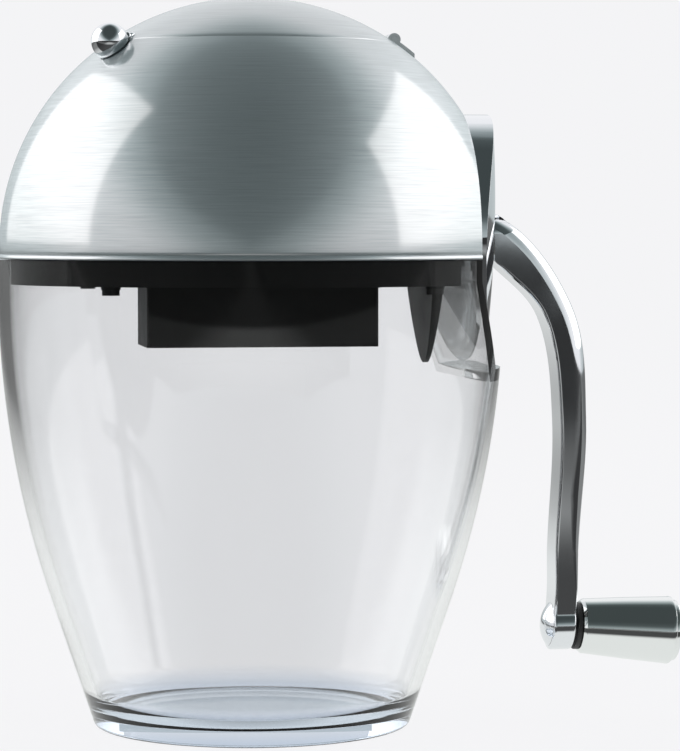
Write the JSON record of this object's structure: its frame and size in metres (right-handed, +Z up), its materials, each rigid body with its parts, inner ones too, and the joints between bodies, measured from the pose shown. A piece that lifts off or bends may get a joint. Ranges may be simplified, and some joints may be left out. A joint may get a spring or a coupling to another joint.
{
  "type": "hand-cranked ice crusher",
  "caption": "Clear egg-shaped jar under a steel dome with a hinged filling lid, a toothed crushing rotor over a chute, and a curved side crank with a turning cone grip.",
  "frame": {"origin": "middle of the jar's flat underside, on the table", "axes": "+Z up along the jar's axis, +X towards the crank, +Y away from the viewer"},
  "size_m": [0.2308, 0.168, 0.2416],
  "materials": {
    "clear_plastic": "clear, polished",
    "brushed_steel": "turned with fine lines round the axis",
    "polished_chrome": "polished",
    "black_plastic": "moulded, satin gloss",
    "cutting_steel": "blanked sheet, satin",
    "shaft_steel": "turned",
    "screw_steel": "plain",
    "bush_plastic": "smooth",
    "washer_plastic": "smooth"
  },
  "bodies": {
    "jar": {"container": "clear_plastic"},
    "head": {"dome_shell": "brushed_steel", "side_shield": "polished_chrome", "chassis": "black_plastic", "hopper": "black_plastic", "front_comb": "cutting_steel", "rear_comb": "cutting_steel", "left_bush": "bush_plastic", "right_bush": "bush_plastic", "shield_bush": "bush_plastic", "hinge_bracket": "polished_chrome", "hinge_pin": "shaft_steel", "chassis_screws": "screw_steel", "shield_screws": "screw_steel", "comb_screws": "screw_steel"},
    "lid": {"lid_cap": "brushed_steel", "lid_knob": "polished_chrome", "lid_hinge_leaf": "brushed_steel"},
    "crank": {"rotor_shaft": "shaft_steel", "shaft_clip": "shaft_steel", "blade_spacers": "shaft_steel", "blade_1": "cutting_steel", "blade_2": "cutting_steel", "blade_3": "cutting_steel", "blade_4": "cutting_steel", "blade_5": "cutting_steel", "crank_arm": "polished_chrome", "grip_pin": "polished_chrome", "grip_washer": "washer_plastic"},
    "grip": {"grip": "polished_chrome", "grip_end_cap": "polished_chrome"}
  },
  "joints": [
    {"name": "head_lift", "type": "slide", "parent": "jar", "child": "head", "axis": [0, 0, 1], "range_m": [0, 0.08]},
    {"name": "lid_hinge", "type": "hinge", "parent": "head", "child": "lid", "pos_m": [0.0465, 0, 0.22781], "axis": [0, 1, 0], "range_deg": [0, 110]},
    {"name": "crank_turn", "type": "hinge", "parent": "head", "child": "crank", "pos_m": [0.081, 0, 0.1625], "axis": [1, 0, 0], "continuous": true},
    {"name": "grip_spin", "type": "hinge", "parent": "crank", "child": "grip", "pos_m": [0.1058, 0, 0.0305], "axis": [0.9976, 0, -0.0698], "continuous": true}
  ]
}
